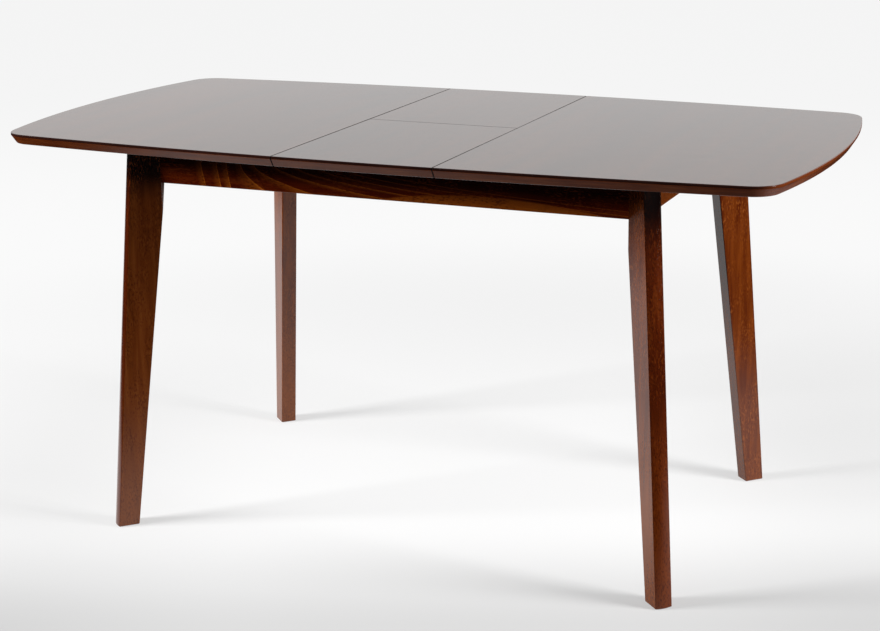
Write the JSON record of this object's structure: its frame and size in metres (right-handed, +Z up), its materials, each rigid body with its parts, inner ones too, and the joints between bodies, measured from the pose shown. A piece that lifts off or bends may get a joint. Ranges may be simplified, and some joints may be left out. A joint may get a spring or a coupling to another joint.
{
  "type": "butterfly leaf dining table",
  "caption": "Extending dining table with a bowed boat-shaped top, splayed corner plank legs, sliding half tops and a folding leaf that stores under the top.",
  "frame": {"origin": "on the floor, below the middle of the extended top", "axes": "+X along the length of the table, +Y towards its back, +Z up"},
  "size_m": [1.5098, 0.796, 0.75],
  "materials": {
    "veneered_top": "dark walnut-brown veneer under gloss lacquer",
    "stained_wood": "red-brown stained solid wood under satin lacquer",
    "plain_wood": "unfinished beech",
    "zinc_steel": "zinc plated",
    "bright_steel": "polished",
    "hinge_brass": "satin",
    "glide_plastic": "moulded nylon"
  },
  "bodies": {
    "frame": {"leaf_front": "veneered_top", "leg_front_left": "stained_wood", "leg_front_right": "stained_wood", "leg_back_left": "stained_wood", "leg_back_right": "stained_wood", "apron_front": "stained_wood", "apron_back": "stained_wood", "apron_left": "stained_wood", "apron_right": "stained_wood", "corner_block_front_left": "plain_wood", "corner_block_front_right": "plain_wood", "corner_block_back_left": "plain_wood", "corner_block_back_right": "plain_wood", "cross_rail_left": "plain_wood", "cross_rail_right": "plain_wood", "leaf_cleats": "plain_wood", "slide_channel_front_left": "zinc_steel", "slide_channel_front_right": "zinc_steel", "slide_channel_back_left": "zinc_steel", "slide_channel_back_right": "zinc_steel", "leaf_pivot_straps": "zinc_steel", "leaf_pivot_pins": "zinc_steel", "leg_hanger_bolts": "zinc_steel", "leg_bolt_washers": "zinc_steel", "leg_bolt_nuts": "zinc_steel", "corner_block_screws": "zinc_steel", "strap_screws": "zinc_steel", "channel_screws": "zinc_steel", "cleat_screws": "zinc_steel", "fold_hinge_front": "hinge_brass", "foot_glides": "glide_plastic", "leaf_pivot_washers": "glide_plastic"},
    "left_top": {"top_left": "veneered_top", "slide_member_front_left": "zinc_steel", "slide_member_back_left": "zinc_steel", "slide_batten_front_left": "plain_wood", "slide_batten_back_left": "plain_wood", "slide_screws_left": "zinc_steel", "seam_dowels_left": "plain_wood"},
    "right_top": {"top_right": "veneered_top", "slide_member_front_right": "zinc_steel", "slide_member_back_right": "zinc_steel", "slide_batten_front_right": "plain_wood", "slide_batten_back_right": "plain_wood", "slide_screws_right": "zinc_steel", "seam_dowels_right": "plain_wood"},
    "left_cages": {"ball_cages_left": "zinc_steel", "slide_balls_left": "bright_steel"},
    "right_cages": {"ball_cages_right": "zinc_steel", "slide_balls_right": "bright_steel"},
    "leaf_back_half": {"leaf_back": "veneered_top", "fold_hinge_back": "hinge_brass"},
    "hinge_links": {"fold_hinge_links": "bright_steel"}
  },
  "joints": [
    {"name": "left_top_slide", "type": "slide", "parent": "frame", "child": "left_top", "axis": [-1, 0, 0], "range_m": [0, 0.03]},
    {"name": "right_top_slide", "type": "slide", "parent": "frame", "child": "right_top", "axis": [1, 0, 0], "range_m": [0, 0.03]},
    {"name": "left_cage_run", "type": "slide", "parent": "frame", "child": "left_cages", "axis": [-1, 0, 0], "range_m": [0, 0.015]},
    {"name": "right_cage_run", "type": "slide", "parent": "frame", "child": "right_cages", "axis": [1, 0, 0], "range_m": [0, 0.015]},
    {"name": "leaf_fold", "type": "hinge", "parent": "frame", "child": "leaf_back_half", "pos_m": [0, 0, 0.7504], "axis": [1, 0, 0], "range_deg": [0, 180]},
    {"name": "hinge_link_turn", "type": "hinge", "parent": "frame", "child": "hinge_links", "pos_m": [0, 0, 0.7504], "axis": [1, 0, 0], "range_deg": [0, 90]}
  ],
  "couplings": [
    {"joint": "left_cage_run", "follows": "left_top_slide", "ratio": 0.5},
    {"joint": "right_cage_run", "follows": "right_top_slide", "ratio": 0.5},
    {"joint": "hinge_link_turn", "follows": "leaf_fold", "ratio": 0.5}
  ]
}
